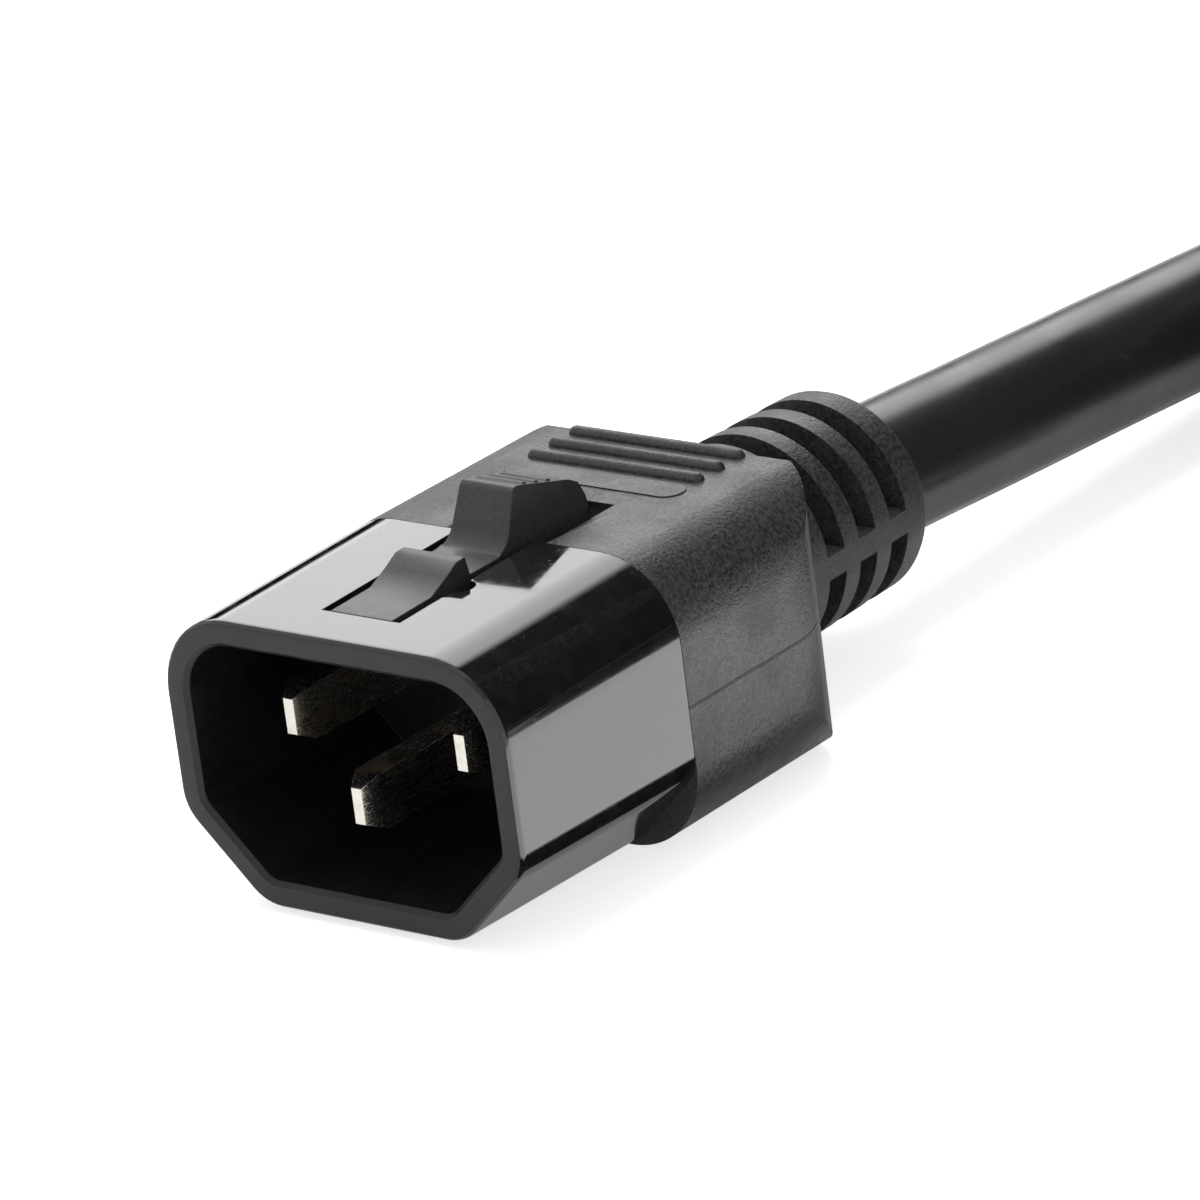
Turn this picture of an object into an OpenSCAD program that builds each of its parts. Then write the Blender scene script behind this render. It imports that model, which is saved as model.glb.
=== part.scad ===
// Locking C14 power plug on a cord, with a C13 connector on the cord's far end.
// The plug stands on the flat underside of its grip. Its opening faces -Y, its cord leaves along +Y.

/* [Cavity and shroud] */
// Width of the cavity
cavity_w = 23.4; // [22.5:0.1:25]
// Height of the cavity
cavity_h = 15.3; // [14.6:0.1:16.5]
// Depth of the cavity from the rim to its floor
cavity_depth = 16.6; // [15.5:0.1:18]
// Leg of the two chamfers at the cavity's lower corners
cavity_chamfer = 4.6; // [3.8:0.1:5]
// Radius of the cavity's upper corners
cavity_r = 3.7; // [2:0.1:4.5]
// Radius where the cavity's chamfers meet its side and bottom
chamfer_r = 1.4; // [0.5:0.1:1.8]
// Thickness of the shroud's wall at the rim
wall_t = 1.75; // [1.5:0.05:2.2]
// Length of the shroud from the rim to the grip
shroud_len = 17.1; // [16.9:0.1:20]
// How much the shroud's top and bottom stand out further at the grip than at the rim
draft_z = 0.34; // [0:0.02:0.36]
// How much the shroud's sides stand out further at the grip than at the rim
draft_x = 0.1; // [0:0.02:0.14]
// Size of the bevel round the cavity's mouth
mouth_bevel = 0.3; // [0.1:0.05:0.5]
// Radius of the rim's outer edge
rim_edge = 0.4; // [0.2:0.05:0.6]

/* [Blades] */
// Distance between the line and neutral blades
blade_pitch = 14; // [13.8:0.1:14.4]
// Height of the line and neutral blades above the axis
blade_rise = 1.8; // [1.5:0.1:2]
// How much lower the earth blade sits
blade_drop = 3.8; // [3.6:0.1:4]
// Thickness of a blade
blade_t = 2; // [1.8:0.1:2.1]
// Height of a blade
blade_h = 3.6; // [3.2:0.1:4]
// Width of the bevel round a blade's tip
tip_bevel = 0.62; // [0.4:0.02:0.7]
// Length of the bevel round a blade's tip
tip_len = 1.25; // [0.8:0.05:1.6]
// Depth of the line blade's tip behind the rim
line_recess = 3.8; // [3:0.1:4.5]
// Depth of the neutral blade's tip behind the rim
neutral_recess = 3.1; // [2.5:0.1:4.5]
// Depth of the earth blade's tip behind the rim
earth_recess = 1.1; // [0.6:0.1:2]

/* [Latch] */
// Width of the latch's tongue
tongue_w = 4.8; // [4.2:0.1:5.2]
// Thickness of the latch's tongue
tongue_t = 0.9; // [0.7:0.05:1.1]
// Gap on each side of the tongue
tongue_gap = 0.65; // [0.4:0.05:0.9]
// Distance of the tongue's root from the rim
root_y = 3.75; // [3:0.05:4.5]
// Distance of the foot of the hook's ramp from the rim
ramp_y = 7.6; // [7:0.1:8.5]
// Distance of the hook's crest from the rim
crest_y = 11.3; // [10.5:0.1:12]
// Height of the hook above the tongue
hook_h = 1.22; // [0.8:0.02:1.3]
// Distance of the button's front foot from the rim
button_y = 15.8; // [15.2:0.1:16.5]
// Length of the button
button_len = 7.7; // [6:0.1:7.9]
// Height of the button's front above the tongue
button_h = 3.6; // [3:0.1:4.2]
// How much lower the button's rear is than its front
button_fall = 1.35; // [0.8:0.05:1.6]
// Width of the button at its top
button_top_w = 4.1; // [3.4:0.1:4.4]
// How far the latch turns when it is pressed, in degrees
latch_travel = 8.5; // [5:0.5:8.5]
// Radius of the round notch beside the hook
notch_r = 0.95; // [0.6:0.05:1.1]
// Distance of the notch's centre from the rim
notch_y = 9.65; // [9:0.05:10.3]

/* [Grip] */
// How much wider the grip is than the shroud
grip_more_w = 0.05; // [0:0.05:2]
// How much the grip's underside stands out below the shroud
grip_more_low = 0.06; // [0.02:0.02:0.5]
// Length of the grip's body
grip_len = 18.3; // [17.8:0.1:22]
// Radius of the grip's upper corners
grip_top_r = 5.5; // [4:0.1:6.5]
// Radius of the grip's lower corners
grip_low_r = 6; // [4:0.1:6.5]
// Radius of the grip's rear corners, seen from above
grip_rear_r = 7; // [5:0.1:8]
// Radius of the grip's upper and lower rear edges
grip_edge_r = 1.6; // [0.8:0.1:2.5]
// Diameter of the three raised rods on the grip
rod_d = 1; // [0.6:0.1:1.2]
// Length of the three raised rods
rod_len = 12.8; // [10:0.1:14]
// Distance between two rods
rod_pitch = 2.15; // [1.8:0.05:2.3]
// Distance of the rearmost rod from the grip's rear
rod_back = 1.8; // [1.6:0.1:2.4]
// Gap between the button's sides and the pocket
pocket_side = 1.1; // [0.8:0.05:1.3]
// Distance from the button's rear to the pocket's rear wall
pocket_back = 1.2; // [1:0.1:1.4]
// Depth of the dished frame round the pocket
dish_t = 0.35; // [0.2:0.05:0.5]
// Width of the dished frame at the grip's front
dish_front_w = 0.5; // [0.3:0.05:0.8]
// Width of the dished frame at its rear
dish_rear_w = 1.6; // [1:0.1:2]
// Width of the flat pad behind the pocket
pad_w = 13.9; // [10:0.1:14.5]
// Length of that pad
pad_l = 2.3; // [1.5:0.1:2.4]
// How far that pad stands out
pad_t = 0.08; // [0.04:0.01:0.2]

/* [Strain relief] */
// Diameter of the strain relief at the grip
relief_d = 14.8; // [13.8:0.1:16]
// How much thinner the strain relief is at its end
relief_taper = 0.6; // [0:0.1:0.8]
// Length of the strain relief
relief_len = 16.3; // [15.6:0.1:20]
// Width of a slot in the strain relief
slot_w = 1.9; // [1.2:0.1:2.1]
// Distance between two slots
slot_pitch = 3.5; // [3:0.1:3.6]
// Distance of the first slot from the grip's rear
slot_start = 5; // [4.5:0.1:5.4]
// Wall left between a slot and the cord
slot_floor = 0.8; // [0.6:0.1:1.2]
// Height of the web left between the upper and the lower slots
web_h = 1.6; // [1:0.1:2.5]
// How far the web lies below the axis
web_drop = 0.3; // [0:0.1:1]

/* [Inside the grips] */
// Length of a crimp
crimp_len = 3.5; // [2.5:0.1:3.6]
// Thickness of the grip's wall round the block that it is moulded on
shell_t = 2; // [1.5:0.1:2.4]
// Length of the inner moulding's round neck in the strain relief
strip_len = 3.6; // [3.2:0.1:4.2]

/* [Cord] */
// Diameter of the cord's jacket
cord_d = 9.3; // [8.6:0.1:9.6]
// Diameter of one insulated core
core_d = 3.2; // [2.8:0.1:3.5]
// Diameter of one copper conductor
wire_d = 1.8; // [1.5:0.1:2]
// Thickness of the straps round the coil
tie_t = 0.8; // [0.6:0.1:1]
// Width of the straps round the coil
tie_w = 12; // [8:1:16]

/* [Far connector] */
// Gap on each side of the connector's nose in a cavity
nose_gap = 0.25; // [0.2:0.05:0.4]
// Length of the connector's nose in front of its grip
nose_len = 16; // [14:0.5:16.5]
// Thickness of the sheet that the contacts are folded from
sheet_t = 0.5; // [0.4:0.05:0.6]
// Length of a contact's sleeve
sleeve_len = 10; // [8:0.5:12]

/* [Hidden] */
$fn = 48;
eps = 0.01;

// Clearance round a piece that is moulded in or pressed in
seat = 0.02;
// Running gap between the tongue's root and the shroud
root_gap = 0.05;
// Gap on each side between two cores where they leave the jacket
core_gap = 0.08;

// Outer size of the shroud at the rim, and of the grip
rim_w = cavity_w + 2 * wall_t;
rim_h = cavity_h + 2 * wall_t;
rim_chamfer = cavity_chamfer + wall_t * (2 - sqrt(2));
rim_r = cavity_r + wall_t;
rim_chamfer_r = chamfer_r + wall_t;
axis_z = rim_h / 2 + draft_z + grip_more_low;
grip_top = rim_h / 2 + draft_z + 0.01;
grip_w = rim_w + 2 * draft_x + grip_more_w;
grip_h = axis_z + grip_top;

// Latch: its top follows the shroud's top, and its pivot is the lower front corner of the tongue
function shroud_top(y) = rim_h / 2 + draft_z * y / shroud_len;
button_end = button_y + button_len;
tongue_top = shroud_top(crest_y);
tongue_low = shroud_top(root_y) - tongue_t;
window_w = tongue_w + 2 * tongue_gap;
button_low_w = tongue_w - 0.2;
pocket_w = button_low_w + 2 * pocket_side;
pocket_end = button_end + pocket_back;
dish_rear_l = 0.7 * dish_rear_w;
pocket_floor = tongue_low - (button_end - root_y) * sin(latch_travel) - 0.4;

// Stations along the plug, measured from the rim
grip_end = shroud_len + grip_len;
plug_len = grip_end + relief_len;
block_end = pocket_end + 1;
crimp_y = block_end + 0.6;
core_y = crimp_y + crimp_len + 0.25;
neck_y = grip_end - 0.6;
jacket_y = neck_y + strip_len;

// Blocks inside the grip
block_w = grip_w - 2 * shell_t;
block_h = cavity_h;
mould_w = blade_pitch + core_d + 3.4;
mould_h = blade_h + blade_drop + 3;
neck_wall = 1.6;

// Coil: two turns side by side on the straps, and half a turn in the groove on top of them
coil_x = 56;
coil_y = 100;
turn_out = 56;
turn_in = turn_out - cord_d - 0.1;
turn_mid = (turn_out + turn_in) / 2;
turn_z = tie_t + cord_d / 2;
turn_rise = sqrt(pow(cord_d, 2) - pow((turn_out - turn_in) / 2, 2)) + 0.1;
strap_gap = 0.04;

// The cord's route, from the plug to the coil and from the coil to the connector
lead_route = [[0, 25.85, 9.8], [0, 31, 9.5], [0, 43, 8.7], [0, 56, 7.9], [0, 68, 7.1], [0, 78, 6.5]];
tail_route = [[107.3, 90, 14.4], [107.3, 80, 15], [107.3, 72, 14.7], [107.3, 60, 12.3], [107.3, 50, 10.3],
              [107.3, 41, 9.8]];
cord_sides = 12;

// ---------------------------------------------------------------- outlines

// The six-sided outline of a cavity, shroud or nose, with its chamfers at the bottom
module hex_outline(w, h, c, r, rc) {
    hull() hex_corners(w, h, c, r, rc);
}

// The round corners of that outline, which stand apart
module hex_corners(w, h, c, r, rc) {
    k = rc * tan(22.5);
    for (s = [-1, 1]) {
        translate([s * (w / 2 - r), h / 2 - r]) circle(r);
        translate([s * (w / 2 - rc), -h / 2 + c + k]) circle(rc);
        translate([s * (w / 2 - c - k), -h / 2 + rc]) circle(rc);
    }
}

function mirror_outline(side) =
    concat(side, [for (i = [len(side) - 1 : -1 : 0]) [-side[i][0], side[i][1]]]);

// Anything drawn in the XZ plane, standing across the plug's axis from y0 and dy long
module across(y0, dy) {
    translate([0, y0 + dy, 0]) rotate([90, 0, 0]) linear_extrude(dy) children();
}

// Anything drawn as a side view, with Y to the right and Z up, and w wide
module side_view(w) {
    translate([-w / 2, 0, 0]) rotate([90, 0, 90]) linear_extrude(w) children();
}

// A block that lies along the axis from y0, dy long, w wide and h high, round its own centre
module block(w, h, y0, dy, z = 0) {
    translate([-w / 2, y0, z - h / 2]) cube([w, dy, h]);
}

// A round bar along the axis
module bar(d, y0, dy) {
    translate([0, y0 + dy, 0]) rotate([90, 0, 0]) cylinder(d = d, h = dy);
}

// A round bar between two points
module bar_between(a, b, d) {
    v = b - a;
    translate(a) rotate([0, acos(v[2] / norm(v)), atan2(v[1], v[0])]) cylinder(d = d, h = norm(v));
}

// Puts the plug's own coordinates, with the rim at y = 0 and the axis at z = 0, into the part's frame
module in_plug() {
    translate([0, -plug_len / 2, axis_z]) children();
}

// Puts the connector's own coordinates, with its face at y = 0, beside the coil
connector_len = nose_len + grip_len + relief_len;
module in_connector() {
    last = tail_route[len(tail_route) - 1];
    translate([last[0], last[1] - connector_len, axis_z]) children();
}

// ---------------------------------------------------------------- shroud

// The rim's outline, moved in by less
module rim_corners(less) {
    hex_corners(rim_w - 2 * less, rim_h - 2 * less, rim_chamfer - less * (2 - sqrt(2)),
                rim_r - less, rim_chamfer_r - less);
}

module shroud_body() {
    hull() {
        for (a = [0 : 30 : 90]) across(rim_edge * (1 - cos(a)), eps) rim_corners(rim_edge * (1 - sin(a)));
        across(shroud_len - eps, eps)
            hex_corners(rim_w + 2 * draft_x, rim_h + 2 * draft_z, rim_chamfer, rim_r, rim_chamfer_r);
    }
}

// The block behind the cavity's floor that the grip is moulded round
module rear_block(grow = 0) {
    c = 3;
    w = block_w / 2 + grow;
    h = block_h / 2 + grow;
    across(shroud_len - eps, block_end - shroud_len + eps + grow)
        polygon([[w, h - c], [w, -h + c], [w - c, -h], [-w + c, -h], [-w, -h + c], [-w, h - c],
                 [-w + c, h], [w - c, h]]);
}

// The room that the latch moves in: a window in the shroud's top and a pit in the block behind it
module latch_window() {
    translate([-window_w / 2, root_y - root_gap, pocket_floor])
        cube([window_w, pocket_end - root_y + root_gap, rim_h]);
    translate([window_w / 2, notch_y, cavity_h / 2 - 1])
        cylinder(r = notch_r, h = rim_h);
}

module latch_pit() {
    translate([-pocket_w / 2, shroud_len, pocket_floor])
        cube([pocket_w, pocket_end - shroud_len, rim_h]);
}

// The corners of the cavity's outline, moved out by grow
module cavity_corners(grow) {
    hex_corners(cavity_w + 2 * grow, cavity_h + 2 * grow, cavity_chamfer + grow * (2 - sqrt(2)),
                cavity_r + grow, chamfer_r + grow);
}

module shroud() {
    color([0.05, 0.05, 0.055])
    difference() {
        union() {
            shroud_body();
            rear_block();
        }
        across(-1, cavity_depth + 1) hex_outline(cavity_w, cavity_h, cavity_chamfer, cavity_r, chamfer_r);
        hull() {
            across(-eps, eps) cavity_corners(mouth_bevel);
            across(2 * mouth_bevel, eps) cavity_corners(-mouth_bevel);
        }
        latch_window();
        latch_pit();
        for (p = blade_places) translate([p[0], 0, p[1]])
            block(blade_t + 2 * seat, blade_h + 2 * seat, cavity_depth - 1, plug_len);
    }
}

// ---------------------------------------------------------------- blades

// Where each blade crosses the cavity's floor: x, z and the recess of its tip
blade_places = [[-blade_pitch / 2, blade_rise, line_recess], [blade_pitch / 2, blade_rise, neutral_recess],
                [0, blade_rise - blade_drop, earth_recess]];

// A stamped blade with a bevelled tip, and the crimped barrel at its rear
module blade(p) {
    translate([p[0], 0, p[1]]) {
        difference() {
            block(blade_t, blade_h, p[2], crimp_y - p[2]);
            for (s = [-1, 1]) {
                translate([s * (blade_t / 2 - tip_bevel), p[2], 0])
                    rotate([0, 0, -s * atan(tip_bevel / tip_len)])
                    translate([s > 0 ? 0 : -blade_t, -tip_len, -blade_h])
                    cube([blade_t, 4 * tip_len, 2 * blade_h]);
                translate([0, p[2], s * (blade_h / 2 - tip_bevel)])
                    rotate([s * atan(tip_bevel / tip_len), 0, 0])
                    translate([-blade_t, -tip_len, s > 0 ? 0 : -blade_h])
                    cube([2 * blade_t, 4 * tip_len, blade_h]);
            }
        }
        crimp(crimp_y);
    }
}

// A round barrel that is pressed onto the bare copper
module crimp(y) {
    difference() {
        bar(core_d, y - eps, crimp_len + eps);
        bar(wire_d + 2 * seat, y, crimp_len + 1);
    }
}

module blade_line() { color([0.78, 0.74, 0.66]) blade(blade_places[0]); }
module blade_neutral() { color([0.78, 0.74, 0.66]) blade(blade_places[1]); }
module blade_earth() { color([0.78, 0.74, 0.66]) blade(blade_places[2]); }

// ---------------------------------------------------------------- wires and cores

// The cores leave the jacket as a bundle of three, and spread to the crimps. Each is cut square to the
// axis, so the slant of the outer two widens their ends.
core_stop = jacket_y - seat;
core_slant = atan((blade_pitch - core_d) / 2 / (core_stop - core_y));
bundle_x = core_d / 2 / cos(core_slant) + core_gap;
function core_side(y) = blade_pitch / 2 + (bundle_x - blade_pitch / 2) * (y - core_y) / (core_stop - core_y)
                        + core_d / 2 / cos(core_slant);
bundle_places = [[-bundle_x, 0.4 * core_d], [bundle_x, 0.4 * core_d], [0, -0.5 * core_d]];

function crimp_point(i, y) = [blade_places[i][0], y, blade_places[i][1]];
function bundle_point(i, y) = [bundle_places[i][0], y, bundle_places[i][1]];

// The stripped copper in a crimp
module wire(i) {
    translate([blade_places[i][0], 0, blade_places[i][1]])
        bar(wire_d, crimp_y + seat, core_y - crimp_y - 2 * seat);
}

// The insulated core from the crimp to the jacket, cut square at both ends
module core(i, grow = 0) {
    a = crimp_point(i, core_y);
    b = bundle_point(i, core_stop);
    intersection() {
        bar_between(a - (b - a) / 2, b + (b - a) / 2, core_d + 2 * grow);
        block(grip_w, grip_h, core_y, core_stop - core_y + grow);
    }
}

module core_line() { color([0.05, 0.05, 0.05]) core(0); }
module core_neutral() { color([0.93, 0.93, 0.9]) core(1); }
module core_earth() { color([0.1, 0.45, 0.2]) core(2); }
module wire_line() { color([0.72, 0.4, 0.22]) wire(0); }
module wire_neutral() { color([0.72, 0.4, 0.22]) wire(1); }
module wire_earth() { color([0.72, 0.4, 0.22]) wire(2); }

// The inner moulding's outline round the crimps and the spreading cores
module mould_form(grow = 0) {
    z = blade_rise - blade_drop / 2;
    w = mould_w / 2 + grow;
    neck = core_side(neck_y) + 0.3 + grow;
    translate([0, 0, z - mould_h / 2 - grow]) linear_extrude(mould_h + 2 * grow)
        polygon([[-w, block_end + seat - grow], [w, block_end + seat - grow], [w, core_y + 0.3],
                 [neck, neck_y], [-neck, neck_y], [-w, core_y + 0.3]]);
    bar(cord_d + 2 * neck_wall + 2 * grow, neck_y - 1, core_stop + grow - neck_y + 1);
}

module inner_mould() {
    color([0.16, 0.16, 0.17])
    difference() {
        mould_form();
        for (i = [0 : 2]) {
            translate([blade_places[i][0], 0, blade_places[i][1]]) {
                block(blade_t + 2 * seat, blade_h + 2 * seat, block_end - 1, crimp_y - block_end + 1 + seat);
                bar(core_d + 8 * seat, crimp_y - eps, core_y - crimp_y + 0.3);
            }
            core(i, seat);
        }
    }
}

// The end of the cord's jacket, held inside the strain relief
module jacket_end() {
    color([0.07, 0.07, 0.07]) bar(cord_d, jacket_y, plug_len - jacket_y);
}

// ---------------------------------------------------------------- latch

// The latch's side view: a thin tongue, a ramped hook, and a button that leans back
module latch_profile() {
    top = tongue_top;
    front = top + button_h;
    rear = front - button_fall;
    lean = 0.8;
    nose_r = 0.6;
    difference() {
        polygon(concat(
            [[root_y, tongue_low], [root_y, shroud_top(root_y)], [ramp_y, shroud_top(ramp_y)]],
            [[ramp_y + 1.6, top + 0.5 * hook_h], [crest_y - 1, top + 0.97 * hook_h],
             [crest_y - 0.15, top + hook_h], [crest_y + 0.12, top]],
            foot_fillet(),
            [for (a = [170 : -20 : 70])
                [button_y + lean + nose_r * (1 + cos(a)), front - nose_r * (1 - sin(a))]],
            [[button_end - 1.4, rear], [button_end - 0.6, rear - 0.45], [button_end - 0.1, rear - 1.5],
             [button_end, tongue_low]]));
    }
}

// The hollow fillet from the tongue up to the button's front
function foot_fillet() =
    let (r = 1.9, y = button_y - 1.8)
    [for (a = [0 : 15 : 60]) [y + r * sin(a), tongue_top + r - r * cos(a) - 0.02 * a / 60]];

module latch() {
    color([0.085, 0.085, 0.09])
    union() {
        intersection() {
            side_view(tongue_w) latch_profile();
            union() {
                block(tongue_w, 8, 0, button_y - 1.2, tongue_top);
                across(button_y - 1.2 - eps, button_end)
                    polygon([[-button_low_w / 2, tongue_low - 1], [button_low_w / 2, tongue_low - 1],
                             [button_low_w / 2, tongue_top], [button_top_w / 2, tongue_top + button_h],
                             [-button_top_w / 2, tongue_top + button_h], [-button_low_w / 2, tongue_top]]);
            }
        }
        for (i = [0 : 2]) button_ridge(i);
    }
}

// One of the three fine ridges across the button's top
module button_ridge(i) {
    y = button_y + 2.4 + 1.15 * i;
    run = button_len - 2.8;
    z = tongue_top + button_h - button_fall * (y - button_y - 1.4) / run;
    translate([-button_top_w / 2 + 0.25, y, z - 0.12]) rotate([0, 90, 0])
        cylinder(d = 0.5, h = button_top_w - 0.5);
}

// ---------------------------------------------------------------- grip

// The grip's body is where its section, its plan and its side view meet
module grip_form() {
    intersection() {
        across(shroud_len, grip_len) grip_section();
        translate([0, 0, -grip_h]) linear_extrude(2 * grip_h) rear_rounded(grip_w, grip_rear_r);
        side_view(grip_w + 2) translate([0, grip_top - grip_h / 2]) mirror([1, -1])
            rear_rounded(grip_h, grip_edge_r);
    }
}

module grip_section() {
    union() {
        for (s = [-1, 1]) {
            translate([s * (grip_w / 2 - grip_top_r), grip_top - grip_top_r]) circle(grip_top_r);
            translate([s * (grip_w / 2 - grip_low_r), -axis_z + grip_low_r]) circle(grip_low_r);
        }
        polygon(mirror_outline([[grip_w / 2 - grip_top_r, grip_top], [grip_w / 2, grip_top - grip_top_r],
                                [grip_w / 2, -axis_z + grip_low_r], [grip_w / 2 - grip_low_r, -axis_z]]));
    }
}

// A strip w wide that runs back over the grip's length and has round rear corners
module rear_rounded(w, r) {
    union() {
        translate([-w / 2, shroud_len]) square([w, grip_len - r]);
        translate([-w / 2 + r, shroud_len]) square([w - 2 * r, grip_len]);
        for (s = [-1, 1]) translate([s * (w / 2 - r), grip_end - r]) circle(r);
    }
}

// A raised rod with round ends, lying across the grip
module rod(y) {
    translate([-rod_len / 2, y, grip_top]) {
        rotate([0, 90, 0]) cylinder(d = rod_d, h = rod_len);
        sphere(d = rod_d);
        translate([rod_len, 0, 0]) sphere(d = rod_d);
    }
}

// The strain relief's sleeve, with three rows of deep arc slots above and below a web on each side
module relief() {
    root = grip_edge_r;
    end_r = (relief_d - relief_taper) / 2;
    difference() {
        translate([0, grip_end - root, 0]) rotate([-90, 0, 0]) rotate_extrude()
            polygon([[0, 0], [relief_d / 2, 0], [relief_d / 2, root], [end_r, relief_len + root - 0.5],
                     [end_r - 0.15, relief_len + root - 0.15], [end_r - 0.5, relief_len + root],
                     [0, relief_len + root]]);
        for (i = [0 : 2]) relief_slot(grip_end + slot_start + i * slot_pitch);
    }
}

module relief_slot(y) {
    difference() {
        bar(relief_d + 2, y, slot_w);
        bar(cord_d + 2 * slot_floor, y - 1, slot_w + 2);
        block(relief_d + 4, web_h, y - 1, slot_w + 2, -web_drop);
    }
}

// The dished frame round the latch's pocket
module dish() {
    hull() {
        translate([0, 0, grip_top - dish_t]) linear_extrude(eps)
            polygon([[-pocket_w / 2, shroud_len - eps], [pocket_w / 2, shroud_len - eps],
                     [pocket_w / 2, pocket_end], [-pocket_w / 2, pocket_end]]);
        translate([0, 0, grip_top]) linear_extrude(eps)
            polygon([[-pocket_w / 2 - dish_front_w, shroud_len - eps],
                     [pocket_w / 2 + dish_front_w, shroud_len - eps],
                     [pocket_w / 2 + dish_rear_w, pocket_end + dish_rear_l],
                     [-pocket_w / 2 - dish_rear_w, pocket_end + dish_rear_l]]);
    }
}

// The shallow round-ended pad between the pocket and the rods
module thumb_pad() {
    half = (pad_w - pad_l) / 2;
    translate([0, pocket_end + dish_rear_l + pad_l / 2 + 0.15, grip_top - 1])
        linear_extrude(1 + pad_t) {
            square([2 * half, pad_l], center = true);
            for (s = [-1, 1]) translate([s * half, 0]) circle(d = pad_l);
        }
}

module grip() {
    color([0.12, 0.12, 0.125])
    difference() {
        union() {
            grip_form();
            relief();
            for (i = [0 : 2]) rod(grip_end - rod_back - i * rod_pitch);
            thumb_pad();
        }
        rear_block(seat);
        mould_form(seat);
        bar(cord_d + 2 * seat, jacket_y - 2 * seat, plug_len);
        latch_pit();
        dish();
    }
}

// ---------------------------------------------------------------- cord

// Circle of points round a route's point i, square to the route there
function route_way(r, i) = let (v = i == 0 ? r[1] - r[0] : i == len(r) - 1 ? r[i] - r[i - 1]
                                 : r[i + 1] - r[i - 1], y = i == 0 || i == len(r) - 1)
    y ? [0, v[1] / abs(v[1]), 0] : v / norm(v);
function route_ring(r, i) = let (t = route_way(r, i), u = [1, 0, 0], w = cross(t, u))
    [for (k = [0 : cord_sides - 1]) let (a = 360 * k / cord_sides)
        r[i] + cord_d / 2 * (cos(a) * u + sin(a) * w)];

module cord_tube(r) {
    n = cord_sides;
    m = len(r);
    polyhedron(
        points = [for (i = [0 : m - 1]) each route_ring(r, i)],
        faces = concat(
            [[for (k = [0 : n - 1]) n - 1 - k]],
            [for (i = [0 : m - 2]) for (k = [0 : n - 1])
                [i * n + k, i * n + (k + 1) % n, (i + 1) * n + (k + 1) % n, (i + 1) * n + k]],
            [[for (k = [0 : n - 1]) (m - 1) * n + k]]));
}

module cord_lead() { color([0.07, 0.07, 0.07]) cord_tube(lead_route); }
module cord_tail() { color([0.07, 0.07, 0.07]) cord_tube(tail_route); }

// Section of the coil's two lower turns, which lie side by side
module low_turns(grow = 0) {
    r = cord_d / 2 + grow;
    translate([turn_in, turn_z - r]) square([turn_out - turn_in, 2 * r]);
    for (x = [turn_in, turn_out]) translate([x, turn_z]) circle(r);
}

// Section of those two and of the turn that lies in the groove on top of them
module stacked_turns() {
    r = cord_d / 2;
    a = atan(turn_rise / (turn_mid - turn_in));
    low_turns();
    translate([turn_mid, turn_z + turn_rise]) circle(r);
    x = r * sin(a);
    z = turn_z + r * cos(a);
    polygon([[turn_in - x, z], [turn_mid - x, z + turn_rise], [turn_mid + x, z + turn_rise],
             [turn_out + x, z], [turn_out, turn_z], [turn_in, turn_z]]);
}

module in_coil() { translate([coil_x, coil_y, 0]) children(); }

module cord_coil() {
    color([0.07, 0.07, 0.07]) in_coil() {
        rotate_extrude() low_turns();
        rotate_extrude(angle = 250) stacked_turns();
    }
}

// A hook-and-loop strap round the three turns, centred at the given angle
module coil_strap(angle) {
    wide = tie_w / turn_mid * 180 / PI;
    color([0.1, 0.1, 0.1]) in_coil() rotate([0, 0, angle - wide / 2]) rotate_extrude(angle = wide, $fn = 120)
        difference() {
            strap_outline(tie_t);
            strap_outline(strap_gap);
        }
}

module strap_outline(grow) {
    hull() for (p = [[turn_in, turn_z], [turn_out, turn_z], [turn_mid, turn_z + turn_rise]])
        translate(p) circle(cord_d / 2 + grow);
}

module coil_strap_left() { coil_strap(135); }
module coil_strap_right() { coil_strap(45); }

// ---------------------------------------------------------------- far connector

nose_w = cavity_w - 2 * nose_gap;
nose_h = cavity_h - 2 * nose_gap;
sleeve_w = blade_t + 2 * sheet_t + 0.1;
sleeve_h = blade_h + 2 * sheet_t + 0.1;
sleeve_y = 1.6;
shift = nose_len - shroud_len;

module connector_nose() {
    color([0.06, 0.06, 0.065])
    difference() {
        union() {
            across(0, nose_len) hex_outline(nose_w, nose_h, cavity_chamfer, cavity_r, chamfer_r);
            translate([0, shift, 0]) rear_block();
        }
        for (p = blade_places) translate([p[0], 0, p[1]]) {
            block(blade_t + 0.5, blade_h + 0.5, -1, sleeve_y + 2);
            block(sleeve_w + 2 * seat, sleeve_h + 2 * seat, sleeve_y, sleeve_len + 2 * seat);
            block(blade_t + 2 * seat, blade_h + 2 * seat, sleeve_y + sleeve_len, plug_len);
        }
    }
}

// A female contact: a folded sleeve, its tail through the nose, and its crimp
module contact(i) {
    p = blade_places[i];
    tail_end = crimp_y + shift;
    translate([p[0], 0, p[1]]) {
        difference() {
            block(sleeve_w, sleeve_h, sleeve_y, sleeve_len);
            block(sleeve_w - 2 * sheet_t, sleeve_h - 2 * sheet_t, sleeve_y - 1, sleeve_len + 1 - sheet_t);
            block(sheet_t, sleeve_h, sleeve_y - 1, sleeve_len - 1, sleeve_h / 2);
        }
        block(blade_t, blade_h, sleeve_y + sleeve_len - eps, tail_end - sleeve_y - sleeve_len + eps);
        crimp(tail_end);
    }
}

module contact_line() { color([0.78, 0.74, 0.66]) contact(0); }
module contact_neutral() { color([0.78, 0.74, 0.66]) contact(1); }
module contact_earth() { color([0.78, 0.74, 0.66]) contact(2); }

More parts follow.
